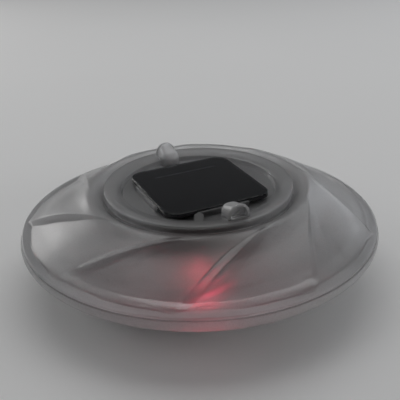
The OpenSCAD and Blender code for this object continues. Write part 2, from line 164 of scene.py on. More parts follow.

# Painted red glow of the lit lamp, emitted by the shells: point over the widest plane, reach in mm,
# strength, squash along turned axes, their turn in degrees, and the pitch of its stripes in mm
PAINTED_GLOW_SPOT = ((-0.3, -66, 13.5), 8.0, 0.035, (1, 0.85, 0.6), 0, 0)
PAINTED_GLOW_STREAKS = ((3.0, -78, 7), 15, 0.22, (0.85, 2.0, 1), 28, 4.4)
HALO = ((0, -84, -2), 62, 0.016, (0.7, 1, 1.5), 0, 0)
RIM_GLOW = ((3, -87, -4), 17, 0.06, (0.8, 1, 1.4), 0, 0)
FLOOR_GLOW = ((0, -4, -23), 16, 0.2, (1, 1, 0.4), 0, 0)

# Painted shade where the dim drum shows under the lid's front, and in the front rim recess with pink lamp
# glow: point, reach in mm, squash and colour
PAINTED_SHADE_DOME = ((3, -54, 16), 17, (0.6, 1, 1), (0.42, 0.41, 0.4))
PAINTED_SHADE_LID = ((2, -45, 21), 21, (0.55, 1.2, 1), (0.46, 0.455, 0.45))
PAINTED_SHADE_RIM = ((0, -96, 2), 26, (0.25, 2.0, 1), (0.58, 0.5, 0.51))

# The view: degrees down and tilted; place in metres, its height counts from the widest plane
CAMERA_PITCH, CAMERA_ROLL = 26.03, 1.56
CAMERA_PLACE = (0.0007, -0.2980, 0.1568)


def polar(r, turn, z=0.0):
    """A point at a radius and a turn in degrees."""
    return r * math.cos(math.radians(turn)), r * math.sin(math.radians(turn)), z


def clamp(t, low=0.0, high=1.0):
    return min(high, max(low, t))


def smooth(t):
    t = clamp(t)
    return t * t * (3 - 2 * t)


# ---------------------------------------------------------------- mesh helpers
def new_mesh(name, points, faces, shade=True):
    """A mesh object from points in millimetres over the widest plane."""
    mesh = bpy.data.meshes.new(name)
    mesh.from_pydata([(x * MM, y * MM, (z + DEPTH) * MM) for x, y, z in points], [], faces)
    obj = bpy.data.objects.new(name, mesh)
    bpy.context.scene.collection.objects.link(obj)
    bm = bmesh.new()
    bm.from_mesh(mesh)
    bmesh.ops.remove_doubles(bm, verts=bm.verts, dist=1e-7)
    bmesh.ops.recalc_face_normals(bm, faces=bm.faces)
    bm.to_mesh(mesh)
    bm.free()
    if shade:
        smooth_by_angle(obj)
    return obj


def smooth_by_angle(obj, angle=32):
    mesh = obj.data
    mesh.polygons.foreach_set("use_smooth", [True] * len(mesh.polygons))
    mesh.set_sharp_from_angle(angle=math.radians(angle))


def even_shading(obj, angle=38):
    """Smooth shading that leaves the large flat faces flat."""
    smooth_by_angle(obj, angle)
    mod = obj.modifiers.new("normals", "WEIGHTED_NORMAL")
    mod.keep_sharp = True
    mod.weight = 100
    apply_modifiers(obj)


def apply_modifiers(obj):
    graph = bpy.context.evaluated_depsgraph_get()
    mesh = bpy.data.meshes.new_from_object(obj.evaluated_get(graph))
    obj.modifiers.clear()
    obj.data = mesh
    return obj


def fillet(points, radii, steps=5):
    """A closed (r, z) outline with its corners rounded by the given radii."""
    out = []
    n = len(points)
    for i, (p, rad) in enumerate(zip(points, radii)):
        here = Vector(p)
        before = Vector(points[i - 1]) - here
        after = Vector(points[(i + 1) % n]) - here
        if rad <= 0 or before.length < 1e-6 or after.length < 1e-6:
            out.append(tuple(here))
            continue
        angle = before.angle(after)
        if angle > math.radians(178):
            out.append(tuple(here))
            continue
        reach = min(rad / math.tan(angle / 2), 0.49 * before.length, 0.49 * after.length)
        start = here + before.normalized() * reach
        end = here + after.normalized() * reach
        for k in range(steps + 1):
            t = k / steps
            # Quadratic curve through the corner's two tangent points
            q = start * (1 - t) ** 2 + here * 2 * t * (1 - t) + end * t * t
            out.append(tuple(q))
    return out


def revolve(name, outline, segments=192):
    """A closed (r, z) outline turned round the axis."""
    n = len(outline)
    points = []
    for s in range(segments):
        points += [polar(r, 360 * s / segments, z) for r, z in outline]
    faces = []
    for s in range(segments):
        a, b = s * n, ((s + 1) % segments) * n
        for k in range(n):
            m = (k + 1) % n
            if outline[k][0] < 1e-6 and outline[m][0] < 1e-6:
                continue
            faces.append((a + k, b + k, b + m, a + m))
    return new_mesh(name, points, faces)


def loop_columns(name, columns):
    """Closed outlines of equal length, set side by side round the axis."""
    n = len(columns[0])
    points = [p for column in columns for p in column]
    faces = []
    for s in range(len(columns)):
        a, b = s * n, ((s + 1) % len(columns)) * n
        for k in range(n):
            m = (k + 1) % n
            faces.append((a + k, b + k, b + m, a + m))
    return new_mesh(name, points, faces)


def rounded_square(w, corner, steps=10):
    """Points of a square with round corners, centred on the origin."""
    out = []
    c = w / 2 - corner
    for quarter in range(4):
        cx, cy = [(c, c), (-c, c), (-c, -c), (c, -c)][quarter]
        for k in range(steps + 1):
            a = math.radians(90 * (quarter + k / steps))
            out.append((cx + corner * math.cos(a), cy + corner * math.sin(a)))
    return out


def loft(name, loops, turn=0.0):
    """Rings of equal length joined into a closed solid; each is (points, height)."""
    n = len(loops[0][0])
    c, s = math.cos(math.radians(turn)), math.sin(math.radians(turn))
    points = [(x * c - y * s, x * s + y * c, z) for ring, z in loops for x, y in ring]
    faces = []
    for i in range(len(loops) - 1):
        for k in range(n):
            m = (k + 1) % n
            faces.append((i * n + k, i * n + m, (i + 1) * n + m, (i + 1) * n + k))
    faces.append(tuple(range(n - 1, -1, -1)))
    faces.append(tuple((len(loops) - 1) * n + k for k in range(n)))
    return new_mesh(name, points, faces)


def combine(base, operation, parts):
    """Joins closed meshes into the base, or cuts them out, by exact booleans."""
    for part in parts:
        mod = base.modifiers.new("combine", "BOOLEAN")
        mod.operation = operation
        mod.solver = "EXACT"
        mod.object = part
        apply_modifiers(base)
        bpy.data.objects.remove(part)
    return base


def unite(base, *parts):
    return combine(base, "UNION", parts)


def cut(base, *parts):
    return combine(base, "DIFFERENCE", parts)


# ---------------------------------------------------------------- material helpers
class Look:
    """A node material, built step by step."""

    def __init__(self, name, **values):
        self.mat = bpy.data.materials.new(name)
        self.mat.use_nodes = True
        self.tree = self.mat.node_tree
        self.shader = self.tree.nodes["Principled BSDF"]
        self.coords = self.add("ShaderNodeTexCoord").outputs["Object"]
        for key, value in values.items():
            self.set("IOR" if key == "ior" else key.replace("_", " ").title(), value)

    def set(self, socket, value):
        if socket in ("Base Color", "Emission Color") and len(value) == 3:
            value = (*value, 1)
        self.shader.inputs[socket].default_value = value
        return self

    def add(self, kind, **values):
        node = self.tree.nodes.new(kind)
        for key, value in values.items():
            setattr(node, key, value)
        return node

    def link(self, a, b):
        self.tree.links.new(a, b)

    def noise(self, scale, detail=3.0, rough=0.55, stretch=None):
        node = self.add("ShaderNodeTexNoise")
        node.inputs["Scale"].default_value = scale
        node.inputs["Detail"].default_value = detail
        node.inputs["Roughness"].default_value = rough
        if stretch:
            mapping = self.add("ShaderNodeMapping")
            mapping.inputs["Scale"].default_value = stretch
            self.link(self.coords, mapping.inputs["Vector"])
            self.link(mapping.outputs["Vector"], node.inputs["Vector"])
        else:
            self.link(self.coords, node.inputs["Vector"])
        return node.outputs["Fac"]

    def ramp(self, value, low, high, from_low=0.3, from_high=0.7):
        """Maps a 0 to 1 signal to a range of numbers."""
        node = self.add("ShaderNodeMapRange")
        node.inputs["From Min"].default_value = from_low
        node.inputs["From Max"].default_value = from_high
        node.inputs["To Min"].default_value = low
        node.inputs["To Max"].default_value = high
        self.link(value, node.inputs["Value"])
        return node.outputs["Result"]

    def math(self, operation, a, b=None, clamped=False):
        node = self.add("ShaderNodeMath", operation=operation)
        node.use_clamp = clamped
        for socket, value in zip(node.inputs, (a, b)):
            if value is None:
                continue
            if isinstance(value, (int, float)):
                socket.default_value = value
            else:
                self.link(value, socket)
        return node.outputs["Value"]

    def blend(self, factor, a, b):
        """A colour between a and b; both are colours or sockets."""
        node = self.add("ShaderNodeMix", data_type="RGBA")
        self.link(factor, node.inputs["Factor"])
        for socket, value in ((node.inputs[6], a), (node.inputs[7], b)):
            if isinstance(value, tuple):
                socket.default_value = (*value, 1)
            else:
                self.link(value, socket)
        return node.outputs[2]

    def drive(self, socket, value):
        self.link(value, self.shader.inputs[socket])
        return self

    def bump(self, *layers):
        """Layers of (signal, depth in millimetres), stacked on the normal."""
        normal = None
        for signal, depth in layers:
            node = self.add("ShaderNodeBump")
            node.inputs["Strength"].default_value = 1.0
            node.inputs["Distance"].default_value = depth * MM
            self.link(signal, node.inputs["Height"])
            if normal:
                self.link(normal, node.inputs["Normal"])
            normal = node.outputs["Normal"]
        self.link(normal, self.shader.inputs["Normal"])
        return self

    def stripes(self, turn, pitch):
        """Soft bright stripes, pitch millimetres apart, across a turned axis."""
        turned = self.add("ShaderNodeMapping")
        turned.inputs["Rotation"].default_value = (0, 0, math.radians(-turn))
        self.link(self.coords, turned.inputs["Vector"])
        split = self.add("ShaderNodeSeparateXYZ")
        self.link(turned.outputs["Vector"], split.inputs["Vector"])
        wobble = self.math("MULTIPLY", self.noise(90, 2), 3.0)
        across = self.math("MULTIPLY", split.outputs["Y"], 2 * math.pi / (pitch * MM))
        wave = self.math("SINE", self.math("ADD", wobble, across))
        return self.ramp(wave, 0.25, 1.5, -1, 1)

    def above(self, height, soft):
        """0 below a height in millimetres over the widest plane, 1 above it, over a soft step."""
        split = self.add("ShaderNodeSeparateXYZ")
        self.link(self.coords, split.inputs["Vector"])
        low = DEPTH + height
        return self.ramp(split.outputs["Z"], 0, 1, low * MM, (low + soft) * MM)

    def distance_to(self, point, scale=(1, 1, 1), turn=0):
        """Distance in metres from a point over the widest plane, squashed along turned axes."""
        x, y, z = point
        away = self.add("ShaderNodeVectorMath", operation="SUBTRACT")
        away.inputs[1].default_value = (x * MM, y * MM, (z + DEPTH) * MM)
        self.link(self.coords, away.inputs[0])
        turned = self.add("ShaderNodeMapping")
        turned.inputs["Rotation"].default_value = (0, 0, math.radians(-turn))
        self.link(away.outputs["Vector"], turned.inputs["Vector"])
        squashed = self.add("ShaderNodeVectorMath", operation="MULTIPLY")
        squashed.inputs[1].default_value = scale
        self.link(turned.outputs["Vector"], squashed.inputs[0])
        length = self.add("ShaderNodeVectorMath", operation="LENGTH")
        self.link(squashed.outputs["Vector"], length.inputs[0])
        return length.outputs["Value"]


def darker(colour, share):
    return tuple(c * share for c in colour)


def frosted(name, tint, transmission, roughness, glow=(), gloss=0.4, solid_from=None, painted_shades=()):
    """Translucent moulded plastic: fine frosting and flow marks under a smoother skin.

    Thick parts above solid_from, in millimetres over the widest plane, scatter more and look whiter.
    Each patch of painted shade darkens the colour where the dim drum shows or shade falls: point, reach,
    squash and colour.
    """
    look = Look(name, ior=1.46)
    look.set("Transmission Weight", transmission)
    look.set("Specular IOR Level", 0.45)
    look.set("Coat Weight", gloss)
    look.set("Coat Roughness", 0.2)
    look.set("Coat IOR", 1.46)
    cloud = look.noise(28, 4)
    base = look.blend(look.ramp(cloud, 0, 1, 0.35, 0.65), darker(tint, 0.9), tint)
    base = look.blend(look.ramp(look.noise(1500, 2), 0, 1, 0.45, 0.75), base, darker(tint, 0.84))
    if solid_from:
        thick = look.above(solid_from, 0.8)
        base = look.blend(thick, base, WHITE_PLASTIC)
        thinned = look.math("SUBTRACT", transmission, look.math("MULTIPLY", thick, 0.45))
        look.drive("Transmission Weight", thinned)
    # Painted shade: the base colour darkens towards each shade patch
    for point, reach, squash, colour in painted_shades:
        near = look.ramp(look.distance_to(point, squash), 1, 0, 0.35 * reach * MM, reach * MM)
        base = look.blend(near, base, colour)
    scuff = look.ramp(look.noise(120, 5, 0.7, stretch=(1, 6, 3)), 0, 0.08, 0.58, 0.75)
    dull = look.ramp(cloud, roughness - 0.04, roughness + 0.03)
    look.drive("Roughness", look.math("ADD", dull, scuff))
    look.bump((look.noise(2600, 2), 0.012), (look.noise(700, 3, 0.6), 0.02))
    # Painted glow: red emission and a pink tint in the base colour over the lamp's light patches
    if glow:
        total = lamp_glow(look, glow)
        base = look.blend(look.math("MULTIPLY", total, 3.0, clamped=True), base, PAINTED_GLOW_TINT)
        look.set("Emission Color", GLOW_RED)
        look.drive("Emission Strength", total)
    look.drive("Base Color", base)
    return look.mat


def lamp_glow(look, patches):
    """Sum of soft patches of painted lamp light, some of them striped."""
    total = None
    for point, reach, power, squash, turn, pitch in patches:
        far = look.math("DIVIDE", look.distance_to(point, squash, turn), reach * MM)
        near = look.math("SUBTRACT", 1.0, far, clamped=True)
        part = look.math("MULTIPLY", look.math("POWER", near, GLOW_FALL), power)
        if pitch:
            part = look.math("MULTIPLY", part, look.stripes(turn, pitch))
        total = part if total is None else look.math("ADD", total, part)
    return total


def moulded(name, colour, roughness=0.5, grain_mm=0.02, grain_scale=1800, **values):
    """Opaque moulded plastic with a fine texture and slight wear."""
    look = Look(name, roughness=roughness, **values)
    cloud = look.noise(60, 4)
    grain = look.noise(grain_scale, 3)
    lighter = tuple(min(1, c * 1.25 + 0.01) for c in colour)
    look.drive("Base Color", look.blend(look.ramp(cloud, 0, 1), colour, lighter))
    look.drive("Roughness", look.ramp(cloud, roughness - 0.07, roughness + 0.07))
    look.bump((grain, grain_mm), (look.noise(300, 2), grain_mm))
    return look.mat


def metal(name, colour, roughness=0.28):
    """Plated metal with fine brushing and spots of tarnish."""
    look = Look(name, roughness=roughness, metallic=1.0)
    brush = look.noise(900, 4, 0.6, stretch=(1, 1, 14))
    spots = look.noise(240, 5, 0.65)
    tarnish = look.ramp(spots, 0, 1, 0.45, 0.72)
    look.drive("Base Color", look.blend(tarnish, colour, darker(colour, 0.68)))
    look.drive("Roughness", look.ramp(spots, roughness - 0.06, roughness + 0.16))
    look.bump((brush, 0.008))
    return look.mat


# ---------------------------------------------------------------- dome
def dome(r):
    """Top envelope of the dome, with the moat round the lid."""
    dip = MOAT_DEEP * clamp((SHOULDER_R - r) / (SHOULDER_R - MOAT_R)) ** 2
    return DOME_H * max(0.0, 1 - r / R) ** DOME_POWER - dip


def rim_flange(r):
    return RIM_TOP + RIM_SLOPE * (RIM_EDGE - 0.6 - r)


def step_at(r):
    """Height of the step between blades, growing outwards and easing off at the rim."""
    grown = smooth((r - BLADE_START) / (BLADE_FULL - BLADE_START))
    return BLADE_STEP * grown * (1 - 0.35 * smooth((r - BLADE_FADE_R) / 8))


def saw(t):
    """One blade: a ridge at 0, a steep drop, a flat ledge, then a climb to the next ridge."""
    t %= 1.0
    ledge = 0.03
    if t < DROP_SHARE:
        return 1 - t / DROP_SHARE
    if t < LEDGE_SHARE:
        return ledge
    climb = (t - LEDGE_SHARE) / (1 - LEDGE_SHARE)
    return ledge + (1 - ledge) * (0.82 * climb + 0.18 * climb * climb)


def soft_saw(t, spread=0.009, taps=9):
    """The blade with its edges rounded over."""
    return sum(saw(t + spread * (2 * k / (taps - 1) - 1)) for k in range(taps)) / taps


def blade_height(r, t):
    low = rim_flange(r) + 0.05
    high = dome(r) - step_at(r) * (1 - soft_saw(t))
    return max(low, high)


def blade_end(t):
    """Radius where a blade ends; its tip reaches a little further out."""
    tip = 0.06
    d = min(abs(t - tip), abs(t - 1 - tip))
    return BLADE_END + TIP_OUT * max(0.0, 1 - (d / 0.25) ** 2) ** 2


def ridge_turn(r):
    """How far the ridge has trailed round at a radius, in degrees."""
    q = max(r, BLADE_START)
    return BLADE_LEAN * max(0.0, (BLADE_END - q) / (q - 0.5 * R)) ** 0.8


def rim_part(t):
    """Outline from the seam over the rim flange and up the end of a blade."""
    out = [
        (RIM_EDGE, SEAM_HIGH, 0), (RIM_EDGE, 2.5, 0), (RIM_EDGE - 0.12, 2.8, 0),
        (RIM_EDGE - 0.34, 3.02, 0), (RIM_EDGE - 0.7, rim_flange(RIM_EDGE - 0.7), 0),
    ]
    end = blade_end(t)
    for k in (3, 2, 1):
        r = end + 0.55 + (RIM_EDGE - 1.2 - end) * k / 4
        out.append((r, rim_flange(r), 0))
    out += [(end + 0.5, rim_flange(end + 0.5), 0), (end + 0.28, rim_flange(end) + 0.04, 0)]
    top = blade_height(end - 0.35, t)
    for out_by, share in ((0.12, 0.28), (0, 0.7), (-0.15, 0.94)):
        out.append((end + out_by, rim_flange(end) * (1 - share) + top * share, 0))
    out.append((end - 0.4, blade_height(end - 0.4, t), 0))
    return out


def neck_part():
    """Outline of the neck, the ledge for the module and the neck's inside."""
    low = dome(MOAT_R)
    corners = [
        (MOAT_R, low), (NECK_OUT, low - 0.1), (NECK_OUT, NECK_TOP), (NECK_IN, NECK_TOP),
        (NECK_IN, LEDGE_TOP), (LEDGE_IN, LEDGE_TOP), (LEDGE_IN, LEDGE_LOW), (44, LEDGE_LOW),
        (47.0, 11.2),
    ]
    radii = [0, 0.9, 0.4, 0.4, 0.3, 0.3, 0.3, 0.5, 0]
    return [(r, z, ridge_turn(MOAT_R)) for r, z in fillet(corners, radii, 3)]


def inner_part(t):
    """Outline of the inside of the shell, out to the tongue."""
    out = []
    start = 49
    for k in range(18):
        r = start + (TONGUE_IN - start) * k / 17
        thicker = 1.2 * (1 - smooth((r - start) / 6))
        under = blade_height(min(r, BLADE_END - 0.5), t) - DOME_WALL - thicker
        if r > 78:
            under = min(under, rim_flange(r) - 1.15)
        out.append((r, under, ridge_turn(r)))
    return out


def dome_outline(t):
    """(radius, height, turn) from the seam, over a blade, round the neck and back inside."""
    out = rim_part(t)
    steps = 62
    start = blade_end(t) - 0.9
    for k in range(steps + 1):
        r = start + (MOAT_R + 0.3 - start) * k / steps
        out.append((r, blade_height(r, t), ridge_turn(r)))
    out += neck_part() + inner_part(t)
    out += [
        (TONGUE_IN, TONGUE_LOW + 0.3, 0), (TONGUE_IN + 0.3, TONGUE_LOW, 0),
        (TONGUE_OUT - 0.3, TONGUE_LOW, 0), (TONGUE_OUT, TONGUE_LOW + 0.3, 0),
        (TONGUE_OUT, SEAM_HIGH, 0),
    ]
    return out


def blade_marks():
    """Shares of a blade where columns stand, closer together at the ridge."""
    close = [-0.02, -0.012, -0.006, 0, 0.006, 0.012, 0.022, 0.035, 0.05, 0.06, 0.068, 0.076, 0.086]
    wide = [0.12, 0.16, 0.20, 0.235, 0.25, 0.26, 0.275, 0.30]
    rest = [0.35 + 0.62 * k / 13 for k in range(14)]
    return sorted(set(round(m % 1.0, 5) for m in close + wide + rest))


def build_dome():
    columns = []
    for blade in range(BLADES):
        for t in blade_marks():
            start = -90 + SWIRL_TURN + (blade + t) * 360 / BLADES
            columns.append([polar(r, start + turn, z) for r, z, turn in dome_outline(t)])
    return loop_columns("dome_shell", columns)


# ---------------------------------------------------------------- bowl and gasket
def arc(centre, radius, start, end, steps):
    """Points along a circle, angles in radians."""
    turns = [start + (end - start) * k / steps for k in range(steps + 1)]
    return [(centre[0] + radius * math.cos(a), centre[1] + radius * math.sin(a)) for a in turns]


def build_bowl():
    """Round bottom, tighter round at the rim, a foot ring and the socket of the tongue."""
    rim_centre = (R - RIM_ROUND, 0.0)
    shift = RIM_ROUND - BOWL_ROUND
    centre = (rim_centre[0] + shift * math.cos(ROUNDS_MEET), -shift * math.sin(ROUNDS_MEET))
    bottom = centre[1] - BOWL_ROUND
    socket = TONGUE_OUT + 0.3
    inner = BOWL_ROUND - BOWL_WALL
    foot = [(0, bottom), (FOOT_IN - 0.5, bottom), (FOOT_IN, -DEPTH), (FOOT_OUT, -DEPTH),
            (FOOT_OUT + 0.5, bottom), (30.5, bottom)]
    outline = fillet(foot, [0, 0.5, 0.5, 0.5, 0.6, 0], 4)[:-1]
    outline += arc(centre, BOWL_ROUND, -math.pi / 2 + 0.01, -ROUNDS_MEET, 40)
    outline += arc(rim_centre, RIM_ROUND, -ROUNDS_MEET + 0.08, 0, 16)
    step = [(R, 0), (R - 0.45, SEAM_LOW), (socket, SEAM_LOW), (socket, SOCKET_LOW)]
    outline += fillet(step, [0, 0.35, 0.3, 0], 4)[1:-1]
    outline += arc(centre, inner, -math.acos((socket - centre[0]) / inner), -math.pi / 2, 36)
    outline += [(15, bottom + BOWL_WALL), (0, bottom + BOWL_WALL)]
    return revolve("hull_bowl", outline, 240)


def build_seal():
    outer, inner = RIM_EDGE - 0.3, TONGUE_OUT + 0.3
    low, high = SEAM_LOW + SEAM_GAP, SEAM_HIGH - SEAM_GAP
    outline = fillet([(inner, low), (outer, low), (outer, high), (inner, high)], [0.1, 0.24, 0.24, 0.1], 4)
    return revolve("rim_seal", outline, 240)


# ---------------------------------------------------------------- lid
def about_z(angle):
    return Matrix.Rotation(math.radians(angle), 4, "Z")


def block(name, low, high, place=None, bevel=0.0):
    """A box between two corners, with bevelled edges, put in place by a matrix in millimetres."""
    corners = [(x, y, z) for z in (low[2], high[2]) for y in (low[1], high[1]) for x in (low[0], high[0])]
    if place:
        corners = [tuple(place @ Vector(c)) for c in corners]
    faces = [(0, 1, 3, 2), (4, 5, 7, 6), (0, 1, 5, 4), (2, 3, 7, 6), (0, 2, 6, 4), (1, 3, 7, 5)]
    obj = new_mesh(name, corners, faces)
    if bevel:
        mod = obj.modifiers.new("edge", "BEVEL")
        mod.width = bevel * MM
        mod.segments = 3
        mod.limit_method = "NONE"
        apply_modifiers(obj)
        smooth_by_angle(obj)
    return obj


def sections(name, rings):
    """Equal rings of points joined one after the other into a closed solid."""
    n, last = len(rings[0]), (len(rings) - 1) * len(rings[0])
    points = [p for ring in rings for p in ring]
    faces = []
    for i in range(0, last, n):
        faces += [(i + k, i + (k + 1) % n, i + n + (k + 1) % n, i + n + k) for k in range(n)]
    faces += [tuple(range(n)), tuple(last + k for k in range(n - 1, -1, -1))]
    return new_mesh(name, points, faces)


def arch(name, start, length, radius, foot, place, steps=24):
    """Half-round arch on straight sides, drawn out along the radius."""
    ring = [(-radius, foot), (radius, foot)]
    for k in range(steps + 1):
        y, z, _ = polar(radius, 180 * k / steps)
        ring.append((y, LUG_AXIS + z))
    rings = [[tuple(place @ Vector((x, y, z))) for y, z in ring] for x in (start, start + length)]
    return sections(name, rings)


def hood_section(at):
    """(half width, crest height, roundness) of the hood at a distance from the axis."""
    back = LUG_MOUTH - LUG_STRAIGHT
    inner = back - LUG_HALF_W
    half = LUG_HALF_W
    if at < back:
        half *= math.sqrt(max(0.0, 1 - ((back - at) / LUG_HALF_W) ** 2))
    crest = LUG_TOP - (LUG_MOUTH - at) * LUG_FALL
    if at < inner + LUG_SOFT:
        crest -= LUG_SOFT * (1 - math.sqrt(max(0.0, 1 - ((inner + LUG_SOFT - at) / LUG_SOFT) ** 2)))
    power = 3.0 - 0.9 * smooth((at - inner) / (LUG_MOUTH - inner))
    return max(half, 0.15), crest, power


def hood_ring(at, place, steps=28):
    """Cross-section of the hood: flat foot and a rounded crest."""
    half, crest, power = hood_section(at)
    low = LUG_FOOT if at > RING_IN else FLOOR_TOP - 0.1
    ring = [(at, -half, low), (at, half, low)]
    for k in range(steps + 1):
        c, h = math.cos(math.pi * k / steps), math.sin(math.pi * k / steps)
        y = half * math.copysign(abs(c) ** (2 / power), c)
        ring.append((at, y, LUG_FOOT + (crest - LUG_FOOT) * h ** (2 / power)))
    return [tuple(place @ Vector(p)) for p in ring]


def build_lug(angle):
    """Hood whose top falls towards its round closed end; the arched mouth faces outwards."""
    place = about_z(angle)
    inner = LUG_MOUTH - LUG_STRAIGHT - LUG_HALF_W
    stations = [inner + 0.02 + LUG_SOFT * (1 - math.cos(math.radians(90 * k / 9))) for k in range(10)]
    stations += [stations[-1] + (LUG_MOUTH - stations[-1]) * (k + 1) / 10 for k in range(10)]
    hood = sections("hood", [hood_ring(at, place) for at in stations])
    unite(hood, arch("lip", LUG_MOUTH - 1, 1, LUG_HALF_W + LIP_OUT, LUG_FOOT, place))
    tilt = (place @ Matrix.Translation((LUG_MOUTH - 4.0, 0, LUG_AXIS))
            @ Matrix.Rotation(math.radians(SLOT_TILT), 4, "X"))
    pocket = arch("pocket", LUG_MOUTH - POCKET_DEEP, 5, LUG_HALF_W - POCKET_WALL, POCKET_FOOT, place)
    cut(hood, pocket, block("slot", (0, -1.8, -0.45), (2, 1.8, 0.45), tilt))
    grid = hood.modifiers.new("grid", "REMESH")
    grid.mode = "VOXEL"
    grid.voxel_size = 0.16 * MM
    soft = hood.modifiers.new("soft", "SMOOTH")
    soft.factor = 0.5
    soft.iterations = 6
    return apply_modifiers(hood)


def build_ear(place):
    """One bayonet ear: an arc on the inside of the plug wall."""
    steps = 8
    low, high = PLUG_LOW, PLUG_LOW + 1.0
    rings = []
    for k in range(steps + 1):
        turn = EAR_HALF_TURN * (2 * k / steps - 1)
        corners = [polar(EAR_IN, turn, low), polar(EAR_OUT, turn, low), polar(EAR_OUT, turn, high),
                   polar(EAR_IN, turn, high)]
        rings.append([tuple(place @ Vector(c)) for c in corners])
    return sections("ear", rings)


def build_rib(place):
    low = (PANEL_W / 2 + RIB_GAP, -RIB_HALF, FLOOR_TOP - 0.4)
    high = (PANEL_W / 2 + RIB_GAP + RIB_W, RIB_HALF, RIB_TOP)
    return block("rib", low, high, place, 0.25)


def build_tab():
    """Small round-ended tab that points in from the ring at the front."""
    outline = [(-TAB_R, TAB_ROOT), (TAB_R, TAB_ROOT)]
    for a in range(0, 181, 15):
        x, y, _ = polar(TAB_R, a)
        outline.append((x, TAB_END + y))
    middle = -36.6
    smaller = [(x * 0.94, middle + (y - middle) * 0.97) for x, y in outline]
    return loft("tab", [(outline, FLOOR_TOP - 0.3), (outline, TAB_TOP - 0.3), (smaller, TAB_TOP)])


def lid_outline():
    """Section of the lid: floor, plug with its O-ring groove, skirt and ring; (corner, rounding)."""
    skirt = LID_R - SKIRT_W
    corners = [
        ((0, FLOOR_LOW), 0), ((PLUG_IN, FLOOR_LOW), 0.4), ((PLUG_IN, PLUG_LOW), 0.2),
        ((PLUG_OUT, PLUG_LOW), 0.4), ((PLUG_OUT, GROOVE_LOW), 0.1), ((GROOVE_R, GROOVE_LOW), 0.1),
        ((GROOVE_R, GROOVE_HIGH), 0.1), ((PLUG_OUT, GROOVE_HIGH), 0.1), ((PLUG_OUT, BRIM_LOW), 0.3),
        ((skirt, BRIM_LOW), 0.2), ((skirt, SKIRT_LOW), 0.2), ((LID_R, SKIRT_LOW), 0.4),
        ((LID_R, RING_TOP - 0.1), 0.75), ((LID_R - 1.5, RING_TOP), 0.5), ((43.6, RING_TOP - 0.3), 0.5),
        ((41.2, 20.55), 0.5), ((39.5, 20.15), 0.3), ((WELL_R + 0.5, 19.9), 0.35),
        ((WELL_R, FLOOR_TOP), 0.5), ((0, FLOOR_TOP), 0),
    ]
    return fillet([c for c, _ in corners], [radius for _, radius in corners], 4)


def build_lid():
    lid = revolve("lid_cover", lid_outline(), 200)
    parts = [build_rib(about_z(LID_TURN + 90 * k)) for k in range(4)]
    parts += [build_ear(about_z(LID_TURN + 360 * k / EARS)) for k in range(EARS)]
    parts.append(build_tab())
    parts += [build_lug(LID_TURN - 90), build_lug(LID_TURN + 90)]
    unite(lid, *parts)
    even_shading(lid)
    return lid


# ---------------------------------------------------------------- panel
def square_stack(name, layers, corner_share=1.0):
    """Round-cornered squares on top of each other; each layer is (inset, height)."""
    loops = []
    for inset, z in layers:
        loops.append((rounded_square(PANEL_W - 2 * inset, PANEL_CORNER - corner_share * inset), z))
    return loft(name, loops, LID_TURN)


def build_board():
    return square_stack("panel_base", [
        (0.35, BOARD_LOW), (0.0, BOARD_LOW + 0.35), (0.0, PANEL_SEAT - 0.12), (0.12, PANEL_SEAT)])


def build_wafer():
    low = PANEL_SEAT + 0.01
    return square_stack("cell_face", [
        (WAFER_INSET, low), (WAFER_INSET, low + 0.03), (WAFER_INSET + 0.05, low + 0.04)], 0.667)


def build_ribbon():
    low = PANEL_SEAT + 0.055
    corners = ((-1, -1), (1, -1), (1, 1), (-1, 1))
    strip = [(x * RIBBON_HALF, RIBBON_Y + y * RIBBON_HALF_W) for x, y in corners]
    smaller = [(x * 0.995, RIBBON_Y + (y - RIBBON_Y) * 0.7) for x, y in strip]
    return loft("cell_ribbon_strip", [(strip, low), (strip, low + 0.03), (smaller, low + 0.045)], LID_TURN)


def build_resin():
    """Clear resin poured over the cell, its top edge drawn down by surface tension."""
    return square_stack("panel_cover", [
        (0.1, PANEL_SEAT + 0.12), (0.0, PANEL_SEAT + 0.2), (0.0, PANEL_TOP - 0.42), (0.05, PANEL_TOP - 0.27),
        (0.2, PANEL_TOP - 0.13), (0.45, PANEL_TOP - 0.05), (0.9, PANEL_TOP - 0.02), (2.5, PANEL_TOP)], 0.6)


# ---------------------------------------------------------------- materials
def cell_material():
    """Dark silicon with faint fingers across it."""
    look = Look("dark_silicon", roughness=0.35)
    turned = look.add("ShaderNodeMapping")
    turned.inputs["Rotation"].default_value = (0, 0, math.radians(-LID_TURN))
    look.link(look.coords, turned.inputs["Vector"])
    split = look.add("ShaderNodeSeparateXYZ")
    look.link(turned.outputs["Vector"], split.inputs["Vector"])
    wave = look.math("SINE", look.math("MULTIPLY", split.outputs["X"], 2 * math.pi / (1.7 * MM)))
    finger = look.ramp(wave, 0, 1, 0.93, 0.99)
    cloud = look.ramp(look.noise(45, 4), 0, 1)
    silicon = look.blend(cloud, (0.004, 0.004, 0.006), (0.009, 0.009, 0.012))
    look.drive("Base Color", look.blend(finger, silicon, (0.016, 0.016, 0.02)))
    look.drive("Roughness", look.ramp(look.noise(400, 3), 0.5, 0.62))
    look.set("Specular IOR Level", 0.02)
    look.bump((look.noise(900, 3), 0.004))
    return look.mat


def resin_material():
    """Clear potting resin with a slightly rippled gloss face."""
    look = Look("clear_resin", roughness=0.06, ior=1.3)
    look.set("Specular IOR Level", 0.1)
    look.set("Transmission Weight", 1.0)
    cloud = look.ramp(look.noise(30, 3), 0, 1)
    look.drive("Base Color", look.blend(cloud, (0.3, 0.31, 0.34), (0.36, 0.37, 0.4)))
    look.drive("Roughness", look.ramp(look.noise(160, 5, 0.65), 0.03, 0.09, 0.4, 0.7))
    look.bump((look.noise(55, 2), 0.01), (look.noise(500, 2), 0.0005))
    return look.mat


